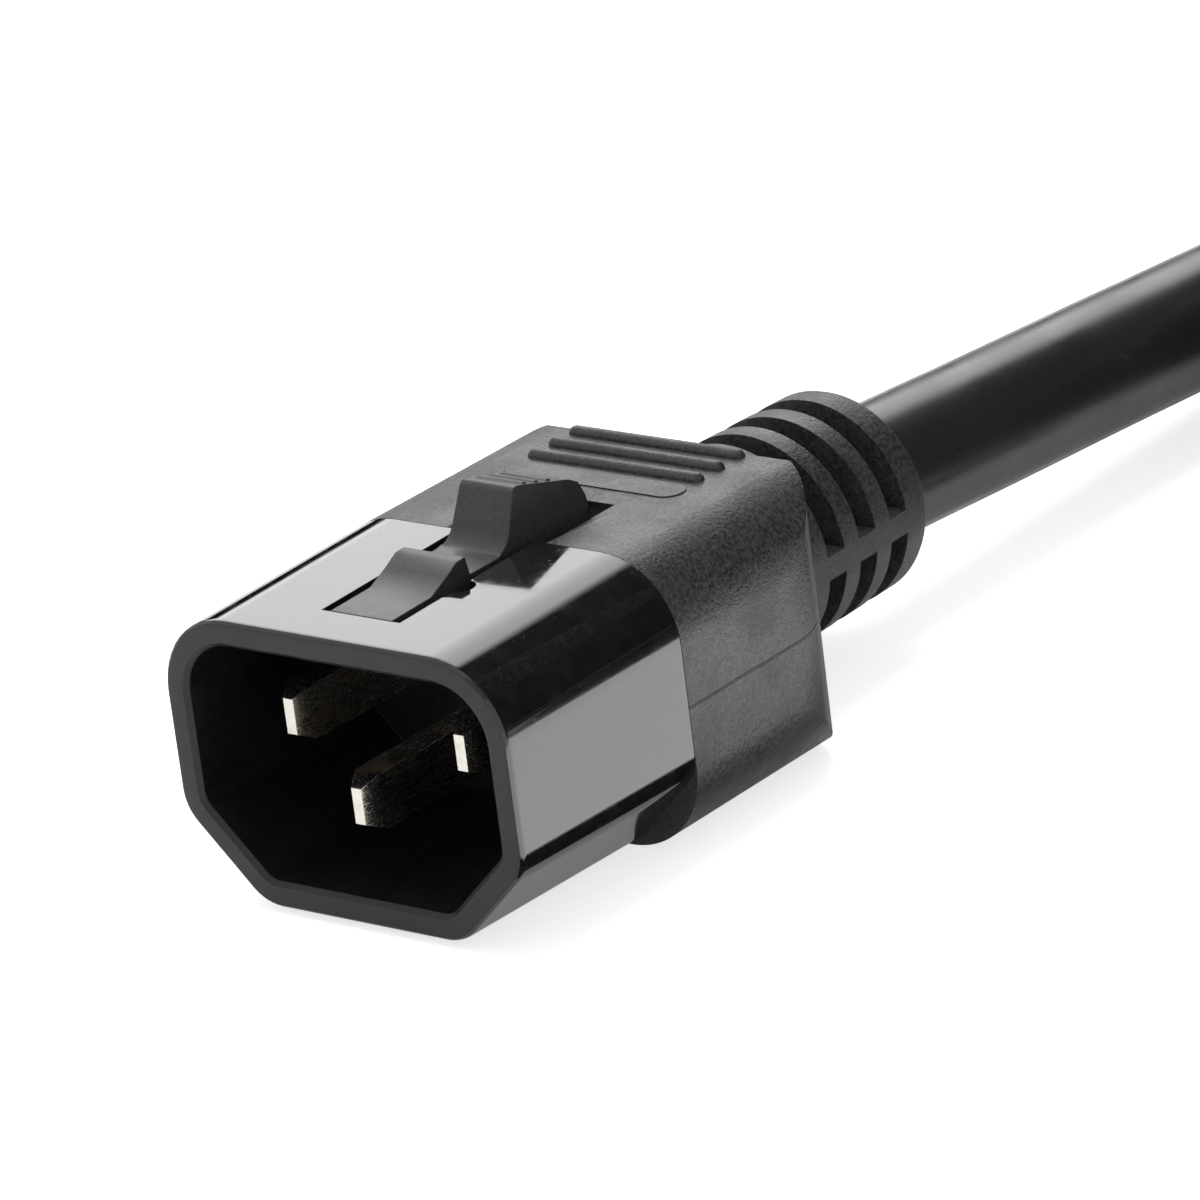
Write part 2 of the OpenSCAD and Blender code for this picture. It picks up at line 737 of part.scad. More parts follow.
module connector_grip() {
    color([0.12, 0.12, 0.125])
    translate([0, shift, 0]) difference() {
        union() {
            grip_form();
            relief();
            for (i = [0 : 2]) rod(grip_end - rod_back - i * rod_pitch);
        }
        rear_block(seat);
        mould_form(seat);
        bar(cord_d + 2 * seat, jacket_y - 2 * seat, plug_len);
    }
}

module connector_inner_mould() { translate([0, shift, 0]) inner_mould(); }
module connector_jacket_end() { translate([0, shift, 0]) jacket_end(); }
module connector_wire_line() { translate([0, shift, 0]) wire_line(); }
module connector_wire_neutral() { translate([0, shift, 0]) wire_neutral(); }
module connector_wire_earth() { translate([0, shift, 0]) wire_earth(); }
module connector_core_line() { translate([0, shift, 0]) core_line(); }
module connector_core_neutral() { translate([0, shift, 0]) core_neutral(); }
module connector_core_earth() { translate([0, shift, 0]) core_earth(); }

// ---------------------------------------------------------------- nodes

in_plug() shroud();
in_plug() latch();
in_plug() grip();
in_plug() blade_line();
in_plug() blade_neutral();
in_plug() blade_earth();
in_plug() wire_line();
in_plug() wire_neutral();
in_plug() wire_earth();
in_plug() core_line();
in_plug() core_neutral();
in_plug() core_earth();
in_plug() inner_mould();
in_plug() jacket_end();
cord_lead();
cord_coil();
cord_tail();
coil_strap_left();
coil_strap_right();
in_connector() connector_nose();
in_connector() contact_line();
in_connector() contact_neutral();
in_connector() contact_earth();
in_connector() connector_grip();
in_connector() connector_inner_mould();
in_connector() connector_jacket_end();
in_connector() connector_wire_line();
in_connector() connector_wire_neutral();
in_connector() connector_wire_earth();
in_connector() connector_core_line();
in_connector() connector_core_neutral();
in_connector() connector_core_earth();
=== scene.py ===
"""Dresses the solids of a locking power plug on a coiled cord: plastics, plated blades, cord, tapes and studio."""

import math

import bmesh
import bpy
from bpy.props import FloatProperty, FloatVectorProperty, PointerProperty
from mathutils import Matrix, Vector


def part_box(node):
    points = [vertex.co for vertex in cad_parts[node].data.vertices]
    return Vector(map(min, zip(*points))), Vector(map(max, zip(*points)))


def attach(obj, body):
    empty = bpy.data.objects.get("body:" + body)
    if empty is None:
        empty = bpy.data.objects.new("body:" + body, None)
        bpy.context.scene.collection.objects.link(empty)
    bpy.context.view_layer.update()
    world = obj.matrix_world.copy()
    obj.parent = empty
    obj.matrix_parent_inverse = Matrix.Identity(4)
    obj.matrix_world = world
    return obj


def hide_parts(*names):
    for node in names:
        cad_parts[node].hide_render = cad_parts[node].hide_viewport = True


bl_info = {
    "name": "Locking power plug",
    "version": (1, 0, 0),
    "blender": (4, 5, 0),
    "location": "View3D > Sidebar > Power plug",
    "description": "Finishes, cord, tapes and studio for a locking power plug",
    "category": "Object",
}

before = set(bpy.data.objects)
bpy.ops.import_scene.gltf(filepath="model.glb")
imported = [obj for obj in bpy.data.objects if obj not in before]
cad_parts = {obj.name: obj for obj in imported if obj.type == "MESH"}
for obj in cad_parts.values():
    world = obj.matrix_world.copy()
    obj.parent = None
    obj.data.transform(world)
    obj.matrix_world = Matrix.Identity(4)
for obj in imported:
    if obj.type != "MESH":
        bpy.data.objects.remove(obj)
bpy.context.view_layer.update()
MM = 0.001
WHITE = (1, 1, 1, 1)
AXIS_HEIGHT = 9.8 * MM
TRUE_EDGE = math.radians(28)
WELD_DISTANCE = 0.002 * MM

# The cord's route from the plug to the coil, and from the coil to the far connector
LEAD = [(0, 25.85, 9.8), (0, 31, 9.5), (0, 43, 8.7), (0, 56, 7.9), (0, 68, 7.1), (0, 78, 6.5)]
TAIL = [(107.3, 90, 14.4), (107.3, 80, 15), (107.3, 72, 14.7), (107.3, 60, 12.3), (107.3, 50, 10.3),
        (107.3, 41, 9.8)]
COIL_CENTRE = (56, 100)
COIL_SWEEP, COIL_STEP = 900, 10
TAPE_ANGLES = (("left", 135), ("right", 45))
FAR_NODES = [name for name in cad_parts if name.startswith(("connector_", "contact_"))]

# The studio's reflections: start, end and soft border of each span of the sky, in degrees
SOFTBOX_AROUND, SOFTBOX_UP = (-62, -12, 6), (13, 62, 2.5)
FLAG_AROUND, FLAG_UP = (-64, 75, 5), (-2, 66, 3)
SKY_LEVEL = 0.8

# Cards on the table: low and high corners of the bright card, and of the black strip beside the plug, which is a
# painted contact shadow seen only in reflections
CARD_CORNERS = ((22 * MM, -60 * MM), (120 * MM, 37 * MM))
PAINTED_SHADOW_CORNERS = ((13.8 * MM, -60 * MM), (21 * MM, 60 * MM))
CARD_HEIGHT = 0.02 * MM
TABLE_REACH = 3
AIM_RIGHT, AIM_UP = 15.549 * MM, 11.059 * MM


# ---------------------------------------------------------------- settings

class PlugFinishes(bpy.types.PropertyGroup):
    """Colours and surface sizes of the mouldings and the metal."""
    shroud: FloatVectorProperty(name="Shroud", description="Colour of the polished shroud",
                                default=(0.012, 0.012, 0.013), size=3, subtype="COLOR", min=0, max=1)
    rim: FloatVectorProperty(name="Rim", description="Colour of the shroud's frosted rim",
                             default=(0.014, 0.014, 0.015), size=3, subtype="COLOR", min=0, max=1)
    latch: FloatVectorProperty(name="Latch", description="Colour of the satin latch",
                               default=(0.04, 0.037, 0.041), size=3, subtype="COLOR", min=0, max=1)
    grip: FloatVectorProperty(name="Grip", description="Colour of the grained grip",
                              default=(0.034, 0.034, 0.035), size=3, subtype="COLOR", min=0, max=1)
    plating: FloatVectorProperty(name="Plating", description="Colour of the blades' nickel plating",
                                 default=(0.78, 0.75, 0.69), size=3, subtype="COLOR", min=0, max=1)
    tarnish: FloatVectorProperty(name="Tarnish", description="Colour of the warm patches on the blades",
                                 default=(0.5, 0.4, 0.27), size=3, subtype="COLOR", min=0, max=1)
    grain: FloatProperty(name="Grain", description="Size of the grip's grain",
                         default=0.28 * MM, min=0.05 * MM, max=2 * MM, precision=6, subtype="DISTANCE", unit="LENGTH")
    edge: FloatProperty(name="Edge", description="Radius of the soft edges on the mouldings",
                        default=0.12 * MM, min=0, max=1 * MM, precision=6, subtype="DISTANCE", unit="LENGTH")


class CordSizes(bpy.types.PropertyGroup):
    """Sizes of the cord, its coil and the tapes round it."""
    diameter: FloatProperty(name="Diameter", description="Diameter of the cord's jacket",
                            default=9.3 * MM, min=4 * MM, max=15 * MM, precision=5, subtype="DISTANCE", unit="LENGTH")
    outer_turn: FloatProperty(name="Outer turn", description="Radius of the coil's outer turn",
                              default=56 * MM, min=40 * MM, max=90 * MM, precision=5, subtype="DISTANCE",
                              unit="LENGTH")
    jacket: FloatVectorProperty(name="Jacket", description="Colour of the cord's jacket",
                                default=(0.022, 0.022, 0.023), size=3, subtype="COLOR", min=0, max=1)
    tape_width: FloatProperty(name="Tape width", description="Width of the tapes round the coil",
                              default=12 * MM, min=6 * MM, max=25 * MM, precision=5, subtype="DISTANCE",
                              unit="LENGTH")
    tape_thickness: FloatProperty(name="Tape thickness", description="Thickness of one layer of tape",
                                  default=0.72 * MM, min=0.3 * MM, max=1.5 * MM, precision=5, subtype="DISTANCE",
                                  unit="LENGTH")
    tape: FloatVectorProperty(name="Tape", description="Colour of the tapes",
                              default=(0.022, 0.022, 0.023), size=3, subtype="COLOR", min=0, max=1)


class StudioSetup(bpy.types.PropertyGroup):
    """Camera and light levels."""
    lens: FloatProperty(name="Lens", description="Focal length of the camera, in millimetres",
                        default=225, min=20, max=400, subtype="DISTANCE_CAMERA")
    distance: FloatProperty(name="Distance", description="Distance from the camera to what it looks at",
                            default=453.04 * MM, min=0.1, max=3, precision=4, subtype="DISTANCE", unit="LENGTH")
    azimuth: FloatProperty(name="Azimuth", description="How far the camera stands round to the right",
                           default=math.radians(40.051), subtype="ANGLE", unit="ROTATION")
    elevation: FloatProperty(name="Elevation", description="How high the camera stands",
                             default=math.radians(20.851), subtype="ANGLE", unit="ROTATION")
    roll: FloatProperty(name="Roll", description="How far the camera is turned round its own axis",
                        default=math.radians(-7.307), subtype="ANGLE", unit="ROTATION")
    softbox: FloatProperty(name="Softbox", description="Brightness of the softbox in the reflections",
                           default=3.0, min=0, max=8)
    card: FloatProperty(name="Card", description="Brightness of the reflecting card beside the plug",
                        default=3.0, min=0, max=8)
    fill: FloatProperty(name="Fill", description="Level of the even light from all round",
                        default=0.55, min=0, max=2)


# ---------------------------------------------------------------- nodes

class Graph:
    """Adds nodes to one tree and feeds their sockets in order."""

    def __init__(self, tree):
        self.tree = tree
        tree.nodes.clear()

    def feed(self, socket, value):
        if isinstance(value, bpy.types.NodeSocket):
            self.tree.links.new(value, socket)
        elif value is not None:
            socket.default_value = value

    def node(self, kind, *values, **settings):
        made = self.tree.nodes.new(kind)
        for name, value in settings.items():
            setattr(made, name, value)
        for socket, value in zip(made.inputs, values):
            self.feed(socket, value)
        return made

    def math(self, operation, *values):
        return self.node("ShaderNodeMath", *values, operation=operation).outputs[0]

    def ramp(self, value, low, high, to_low=0.0, to_high=1.0):
        """Smooth step from to_low to to_high as the value passes from low to high."""
        return self.node("ShaderNodeMapRange", value, low, high, to_low, to_high,
                         interpolation_type="SMOOTHSTEP").outputs[0]

    def band(self, value, start, end, soft):
        """1 between start and end, 0 outside, with soft borders."""
        return self.math("MULTIPLY", self.ramp(value, start - soft, start + soft),
                         self.ramp(value, end - soft, end + soft, 1.0, 0.0))

    def product(self, first, *others):
        for other in others:
            first = self.math("MULTIPLY", first, other)
        return first

    def split(self, vector):
        return self.node("ShaderNodeSeparateXYZ", vector).outputs

    def noise(self, place, size, detail=2.0, roughness=0.5, stretch=None):
        """Noise whose blobs are about the given size, in metres."""
        if stretch:
            place = self.node("ShaderNodeVectorMath", place, stretch, operation="MULTIPLY").outputs[0]
        made = self.node("ShaderNodeTexNoise")
        self.feed(made.inputs["Vector"], place)
        made.inputs["Scale"].default_value = 1 / size
        made.inputs["Detail"].default_value = detail
        made.inputs["Roughness"].default_value = roughness
        return made.outputs["Fac"]

    def blend(self, share, first, second):
        made = self.node("ShaderNodeMix", data_type="RGBA")
        self.feed(made.inputs["Factor"], share)
        for name, value in (("A", first), ("B", second)):
            socket = [s for s in made.inputs if s.name == name and s.type == "RGBA"][0]
            self.feed(socket, value)
        return [s for s in made.outputs if s.type == "RGBA"][0]

    def bump(self, height, depth, normal=None, strength=1.0):
        made = self.node("ShaderNodeBump")
        made.inputs["Strength"].default_value = strength
        made.inputs["Distance"].default_value = depth
        self.feed(made.inputs["Height"], height)
        self.feed(made.inputs["Normal"], normal)
        return made.outputs["Normal"]

    def soft_edges(self, radius):
        return self.node("ShaderNodeBevel", radius, samples=6).outputs[0]

    def place(self):
        return self.node("ShaderNodeTexCoord").outputs["Object"]

    def surface(self, **sockets):
        """The principled shader, with each value set on or fed to its own socket."""
        shader = self.node("ShaderNodeBsdfPrincipled")
        for name, value in sockets.items():
            self.feed(shader.inputs[name.replace("_", " ")], value)
        output = self.node("ShaderNodeOutputMaterial")
        self.tree.links.new(shader.outputs[0], output.inputs["Surface"])


def material_graph(name):
    material = bpy.data.materials.new(name)
    material.use_nodes = True
    return material, Graph(material.node_tree)


def colour(value, level=1.0):
    return (*[min(1.0, c * level) for c in value], 1.0)


# ---------------------------------------------------------------- finishes

def polished_plastic(finishes):
    """High-gloss black moulding with faint flow lines and a few rubbed spots."""
    material, g = material_graph("polished_shroud_plastic")
    place = g.place()
    waves = g.noise(place, 7 * MM, 1.0)
    rubbed = g.noise(place, 1.6 * MM, 4.0, 0.6)
    specks = g.ramp(g.noise(place, 0.22 * MM, 1.0), 0.72, 0.78)
    rough = g.math("ADD", g.ramp(rubbed, 0.35, 0.75, 0.05, 0.13), g.math("MULTIPLY", specks, 0.2))
    normal = g.soft_edges(finishes.edge)
    normal = g.bump(waves, 0.03 * MM, normal, 0.35)
    normal = g.bump(specks, 0.004 * MM, normal, 0.6)
    tint = g.blend(g.ramp(rubbed, 0.3, 0.8), colour(finishes.shroud, 0.8), colour(finishes.shroud, 1.3))
    g.surface(Base_Color=tint, Roughness=rough, IOR=1.58, Coat_Weight=0.25, Coat_Roughness=0.03, Coat_IOR=1.5,
              Normal=normal)
    return material


def frosted_plastic(name, base, rough, grain, depth, edge, ior=1.5):
    """Spark-grained moulding: even fine grain, a slightly uneven sheen and soft edges."""
    material, g = material_graph(name)
    place = g.place()
    fine = g.noise(place, grain, 3.0, 0.65)
    patches = g.noise(place, 3.5 * MM, 3.0)
    sheen = g.math("ADD", g.ramp(fine, 0.3, 0.7, rough - 0.08, rough + 0.08), g.ramp(patches, 0.3, 0.7, -0.04, 0.04))
    tint = g.blend(g.ramp(fine, 0.3, 0.72), colour(base, 0.65), colour(base, 1.45))
    normal = g.bump(fine, depth, g.soft_edges(edge))
    g.surface(Base_Color=tint, Roughness=sheen, IOR=ior, Normal=normal)
    return material


def grained_grip(finishes, name, seam_height, seam_rear):
    """The grip's overmoulding: pebbled grain and the fine parting line that runs along both sides."""
    material, g = material_graph(name)
    place = g.place()
    _, y, z = g.split(place)
    pebbles = g.noise(place, finishes.grain, 2.0, 0.6)
    fine = g.noise(place, finishes.grain * 0.4, 1.0)
    patches = g.noise(place, 5 * MM, 3.0)
    wander = g.math("MULTIPLY", g.math("SUBTRACT", g.noise(place, 4 * MM, 2.0), 0.5), 0.25 * MM)
    off = g.math("ABSOLUTE", g.math("SUBTRACT", g.math("ADD", z, wander), seam_height))
    seam = g.math("MULTIPLY", g.ramp(off, 0.03 * MM, 0.1 * MM, 1.0, 0.0),
                  g.ramp(y, seam_rear, seam_rear + 1 * MM, 1.0, 0.0))
    height = g.math("ADD", g.math("ADD", pebbles, g.math("MULTIPLY", fine, 0.35)), g.math("MULTIPLY", seam, 1.2))
    rough = g.math("ADD", g.ramp(pebbles, 0.3, 0.7, 0.36, 0.52), g.ramp(patches, 0.35, 0.65, -0.05, 0.05))
    tint = g.blend(g.ramp(pebbles, 0.3, 0.72), colour(finishes.grip, 0.6), colour(finishes.grip, 1.5))
    normal = g.bump(height, 0.045 * MM, g.soft_edges(finishes.edge * 0.4))
    g.surface(Base_Color=tint, Roughness=rough, IOR=1.52, Normal=normal)
    return material


def plated_metal(finishes):
    """Nickel plating drawn along the blade, with warm patches and fine scratches."""
    material, g = material_graph("plated_blade_metal")
    place = g.place()
    drawn = g.noise(place, 0.12 * MM, 3.0, 0.6, stretch=(1.0, 0.06, 1.0))
    clouds = g.noise(place, 3 * MM, 3.0, 0.55)
    warm = g.ramp(clouds, 0.45, 0.72)
    tint = g.blend(warm, colour(finishes.plating), colour(finishes.tarnish))
    rough = g.math("ADD", g.ramp(drawn, 0.3, 0.7, 0.16, 0.3), g.math("MULTIPLY", warm, 0.12))
    normal = g.bump(drawn, 0.0012 * MM, g.soft_edges(0.06 * MM))
    g.surface(Base_Color=tint, Metallic=1.0, Roughness=rough, Normal=normal)
    return material


def bare_copper():
    """Twisted copper strands."""
    material, g = material_graph("stranded_copper")
    place = g.place()
    x, y, z = g.split(place)
    twist = g.math("ARCTAN2", x, z)
    strands = g.math("SINE", g.math("ADD", g.math("MULTIPLY", twist, 14.0), g.math("MULTIPLY", y, 1500.0)))
    dull = g.noise(place, 0.8 * MM, 3.0)
    tint = g.blend(g.ramp(dull, 0.3, 0.7), (0.8, 0.38, 0.2, 1), (0.5, 0.2, 0.1, 1))
    g.surface(Base_Color=tint, Metallic=1.0, Roughness=g.ramp(dull, 0.3, 0.7, 0.25, 0.45),
              Normal=g.bump(strands, 0.05 * MM))
    return material


def core_insulation(name, base):
    """Soft insulation with the slight waviness of an extruded core."""
    material, g = material_graph(name)
    place = g.place()
    wavy = g.noise(place, 2.5 * MM, 2.0)
    g.surface(Base_Color=g.blend(g.ramp(wavy, 0.3, 0.7), colour(base, 0.85), colour(base, 1.1)),
              Roughness=g.ramp(wavy, 0.3, 0.7, 0.38, 0.5), Normal=g.bump(wavy, 0.05 * MM))
    return material


def extruded_jacket(name, base):
    """The cord's jacket: a fine matt skin, slow waves and small scuffs."""
    material, g = material_graph(name)
    place = g.place()
    skin = g.noise(place, 0.16 * MM, 2.0)
    waves = g.noise(place, 6 * MM, 2.0)
    scuffs = g.ramp(g.noise(place, 1.2 * MM, 5.0, 0.7), 0.62, 0.72)
    rough = g.math("ADD", g.ramp(waves, 0.3, 0.7, 0.26, 0.34), g.math("MULTIPLY", scuffs, 0.12))
    tint = g.blend(scuffs, colour(base), colour(base, 1.9))
    normal = g.bump(waves, 0.12 * MM, None, 0.5)
    normal = g.bump(skin, 0.006 * MM, normal)
    g.surface(Base_Color=tint, Roughness=rough, IOR=1.5, Normal=normal)
    return material


def looped_tape(sizes):
    """Hook-and-loop tape: a napped face of small loops between two woven selvedges."""
    material, g = material_graph("looped_tape")
    place = g.place()
    across = g.split(g.node("ShaderNodeTexCoord").outputs["UV"])
    loops = g.node("ShaderNodeTexVoronoi", feature="F1")
    g.feed(loops.inputs["Vector"], place)
    loops.inputs["Scale"].default_value = 1 / (0.32 * MM)
    fuzz = g.noise(place, 0.12 * MM, 3.0, 0.7)
    selvedge = g.math("MAXIMUM", g.ramp(across[0], 0.07, 0.1, 1.0, 0.0), g.ramp(across[0], 0.9, 0.93))
    ribs = g.math("SINE", g.math("MULTIPLY", across[1], 900.0))
    nap = g.math("ADD", g.math("MULTIPLY", loops.outputs["Distance"], 1.2), fuzz)
    height = g.math("ADD", g.product(nap, g.math("SUBTRACT", 1.0, selvedge)), g.product(ribs, selvedge, 0.4))
    tint = g.blend(g.ramp(nap, 0.4, 1.5), colour(sizes.tape, 0.55), colour(sizes.tape, 1.8))
    g.surface(Base_Color=tint, Roughness=g.ramp(fuzz, 0.3, 0.7, 0.75, 0.95), Sheen_Weight=0.35, Sheen_Roughness=0.5,
              Normal=g.bump(height, 0.14 * MM))
    return material


# ---------------------------------------------------------------- dressing the solids

def geometry_group(name):
    tree = bpy.data.node_groups.new(name, "GeometryNodeTree")
    g = Graph(tree)
    for way in ("INPUT", "OUTPUT"):
        tree.interface.new_socket("Geometry", in_out=way, socket_type="NodeSocketGeometry")
    return tree, g, g.node("NodeGroupInput").outputs[0]


def smoothed(g, mesh):
    """Joins the solid's triangles and keeps only true edges sharp."""
    mesh = g.node("GeometryNodeRemoveAttribute", mesh, "custom_normal").outputs[0]
    joined = g.node("GeometryNodeMergeByDistance", mesh)
    joined.inputs["Distance"].default_value = WELD_DISTANCE
    sharp = g.node("FunctionNodeCompare", data_type="FLOAT", operation="GREATER_THAN")
    g.feed(sharp.inputs[0], g.node("GeometryNodeInputMeshEdgeAngle").outputs["Unsigned Angle"])
    sharp.inputs[1].default_value = TRUE_EDGE
    faces = g.node("GeometryNodeSetShadeSmooth", joined.outputs[0], True, True, domain="FACE")
    edges = g.node("GeometryNodeSetShadeSmooth", faces.outputs[0], domain="EDGE")
    g.feed(edges.inputs["Selection"], sharp.outputs[0])
    edges.inputs["Shade Smooth"].default_value = False
    return edges.outputs[0]


def smooth_group():
    """The group that only smooths, made once and shared by every plain solid."""
    name = "true_edges"
    if name in bpy.data.node_groups:
        return bpy.data.node_groups[name]
    tree, g, mesh = geometry_group(name)
    g.node("NodeGroupOutput", smoothed(g, mesh))
    return tree


def zoned_group(name, zones):
    """Smooths, then gives each zone its own finish. A zone is (material, selection maker)."""
    tree, g, mesh = geometry_group(name)
    mesh = smoothed(g, mesh)
    for material, chosen in zones:
        put = g.node("GeometryNodeSetMaterial", mesh)
        g.feed(put.inputs["Selection"], chosen(g))
        put.inputs["Material"].default_value = material
        mesh = put.outputs[0]
    g.node("NodeGroupOutput", mesh)
    return tree


def dress(node, material, group=None):
    """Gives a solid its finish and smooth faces."""
    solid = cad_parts[node]
    solid.data.materials.clear()
    solid.data.materials.append(material)
    smooth = solid.modifiers.new("true edges", "NODES")
    smooth.node_group = group or smooth_group()
    weights = solid.modifiers.new("face weights", "WEIGHTED_NORMAL")
    weights.keep_sharp = True
    weights.weight = 100


def select(g, *tests):
    """A selection of the faces that pass every (value, operation, limit) test."""
    chosen = None
    for value, operation, limit in tests:
        test = g.node("FunctionNodeCompare", data_type="FLOAT", operation=operation)
        g.feed(test.inputs[0], value)
        test.inputs[1].default_value = limit
        if chosen is None:
            chosen = test.outputs[0]
        else:
            chosen = g.node("FunctionNodeBooleanMath", chosen, test.outputs[0], operation="AND").outputs[0]
    return chosen


class PLUG_OT_shroud(bpy.types.Operator):
    """Polishes the shroud, frosts its rim and gives its cavity a matt finish, with painted shade from a halved colour
    """
    bl_idname = "plug.shroud"
    bl_label = "Shroud"

    def execute(self, context):
        finishes = context.scene.plug_finishes
        gloss = polished_plastic(finishes)
        rim = frosted_plastic("frosted_rim_plastic", finishes.rim, 0.5, 0.16 * MM, 0.012 * MM, finishes.edge)
        # Painted shade: the cavity takes half the shroud's colour to darken the recess; its rougher matt finish is the
        # moulding's own
        cavity = frosted_plastic("cavity_plastic_painted_shade", [c * 0.5 for c in finishes.shroud], 0.42, 0.2 * MM, 0.006 * MM,
                                 finishes.edge)
        rim_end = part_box("shroud")[0].y + 0.5 * MM
        half_width, half_height, cut_corner = 12.3 * MM, 8.3 * MM, 16 * MM

        def inside(g):
            x, _, z = g.split(g.node("GeometryNodeInputPosition").outputs[0])
            side = g.math("ABSOLUTE", x)
            rise = g.math("SUBTRACT", z, AXIS_HEIGHT)
            drop = g.math("ABSOLUTE", rise)
            return select(g, (side, "LESS_THAN", half_width), (drop, "LESS_THAN", half_height),
                          (g.math("SUBTRACT", side, rise), "LESS_THAN", cut_corner))

        def facing_out(g):
            _, normal_y, _ = g.split(g.node("GeometryNodeInputNormal").outputs[0])
            _, y, _ = g.split(g.node("GeometryNodeInputPosition").outputs[0])
            return select(g, (normal_y, "LESS_THAN", -0.85), (y, "LESS_THAN", rim_end))

        group = zoned_group("shroud_zones", [(cavity, inside), (rim, facing_out)])
        dress("shroud", gloss, group)
        return {"FINISHED"}


class PLUG_OT_latch(bpy.types.Operator):
    """Gives the latch its satin finish"""
    bl_idname = "plug.latch"
    bl_label = "Latch"

    def execute(self, context):
        finishes = context.scene.plug_finishes
        satin = frosted_plastic("satin_latch_plastic", finishes.latch, 0.4, 0.14 * MM, 0.008 * MM, finishes.edge * 1.4)
        dress("latch", satin)
        return {"FINISHED"}


class PLUG_OT_grip(bpy.types.Operator):
    """Gives both grips their pebbled grain and parting line"""
    bl_idname = "plug.grip"
    bl_label = "Grips"

    def execute(self, context):
        finishes = context.scene.plug_finishes
        seam_height, strain_relief = 10 * MM, 17 * MM
        for node in ("grip", "connector_grip"):
            seam_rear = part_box(node)[1].y - strain_relief
            dress(node, grained_grip(finishes, node + "_grain", seam_height, seam_rear))
        return {"FINISHED"}


class PLUG_OT_blades(bpy.types.Operator):
    """Plates the blades and the far connector's contacts"""
    bl_idname = "plug.blades"
    bl_label = "Blades and contacts"

    def execute(self, context):
        plated = plated_metal(context.scene.plug_finishes)
        for pole in ("line", "neutral", "earth"):
            dress("blade_" + pole, plated)
            dress("contact_" + pole, plated)
        return {"FINISHED"}


class PLUG_OT_inner_parts(bpy.types.Operator):
    """Finishes the copper, cores, inner mouldings, jacket ends and the connector's nose"""
    bl_idname = "plug.inner_parts"
    bl_label = "Inner parts and nose"

    def execute(self, context):
        finishes, sizes = context.scene.plug_finishes, context.scene.plug_cord
        copper = bare_copper()
        cores = {"line": core_insulation("core_black_insulation", (0.03, 0.03, 0.03)),
                 "neutral": core_insulation("core_white_insulation", (0.8, 0.8, 0.78)),
                 "earth": core_insulation("core_green_insulation", (0.05, 0.3, 0.1))}
        inner = frosted_plastic("inner_moulding_plastic", (0.09, 0.09, 0.095), 0.5, 0.3 * MM, 0.01 * MM, finishes.edge)
        jacket = extruded_jacket("jacket_end_skin", sizes.jacket)
        nose = frosted_plastic("satin_nose_plastic", finishes.shroud, 0.3, 0.2 * MM, 0.006 * MM, finishes.edge * 1.6)
        for end in ("", "connector_"):
            for pole in cores:
                dress(end + "wire_" + pole, copper)
                dress(end + "core_" + pole, cores[pole])
            dress(end + "inner_mould", inner)
            dress(end + "jacket_end", jacket)
        dress("connector_nose", nose)
        return {"FINISHED"}


# ---------------------------------------------------------------- cord and tapes

def ease(value, start, end):
    share = min(max((value - start) / (end - start), 0.0), 1.0)
    return share * share * (3 - 2 * share)


def coil_radii(sizes):
    """Radii of the outer, inner and top turns, the low turns' height and the top turn's rise over it."""
    diameter, outer = sizes.diameter, sizes.outer_turn
    gap, tape_under = 0.1 * MM, 0.8 * MM
    inner = outer - diameter - gap
    top = (outer + inner) / 2
    low_height = tape_under + diameter / 2
    rise = math.sqrt(diameter ** 2 - ((outer - inner) / 2) ** 2) + gap
    return outer, inner, top, low_height, rise


def round_coil(angle, radius, height):
    """The place at an angle, a radius and a height round the coil's middle."""
    return Vector((COIL_CENTRE[0] * MM + radius * math.cos(angle), COIL_CENTRE[1] * MM + radius * math.sin(angle),
                   height))


def coil_point(degrees, sizes):
    """A point of the coil: one outer turn, one inner turn that climbs over it, and half a turn on top.

    Each ease runs between two angles, counted in degrees from where the cord enters the coil.
    """
    outer, inner, top, low_height, rise = coil_radii(sizes)
    hump = 9.6 * MM
    radius = outer + (inner - outer) * ease(degrees, 260, 360) + (top - inner) * ease(degrees, 590, 670)
    height = low_height + hump * ease(degrees, 540, 620) + (rise - hump) * ease(degrees, 690, 730)
    return round_coil(math.radians(180 - degrees), radius, height)


class PLUG_OT_cord(bpy.types.Operator):
    """Lays the cord from the plug through its coil to the far connector"""
    bl_idname = "plug.cord"
    bl_label = "Cord"

    def execute(self, context):
        sizes = context.scene.plug_cord
        points = [Vector(p) * MM for p in LEAD]
        points += [coil_point(degrees, sizes) for degrees in range(0, COIL_SWEEP + 1, COIL_STEP)]
        points += [Vector(p) * MM for p in TAIL]
        line = bpy.data.curves.new("cord", "CURVE")
        line.dimensions = "3D"
        line.bevel_depth = sizes.diameter / 2
        line.bevel_resolution = 7
        line.resolution_u = 5
        line.use_fill_caps = True
        spline = line.splines.new("BEZIER")
        spline.bezier_points.add(len(points) - 1)
        for knot, point in zip(spline.bezier_points, points):
            knot.co = point
            knot.handle_left_type = knot.handle_right_type = "AUTO"
        cord = bpy.data.objects.new("cord", line)
        context.scene.collection.objects.link(cord)
        line.materials.append(extruded_jacket("cord_jacket_skin", sizes.jacket))
        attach(cord, "plug")
        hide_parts("cord_lead", "cord_coil", "cord_tail")
        with_pieces = [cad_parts[name] for name in FAR_NODES]
        with_pieces += [bpy.data.objects[name] for name in ("coil_tape_left", "coil_tape_right")]
        return {"FINISHED"}


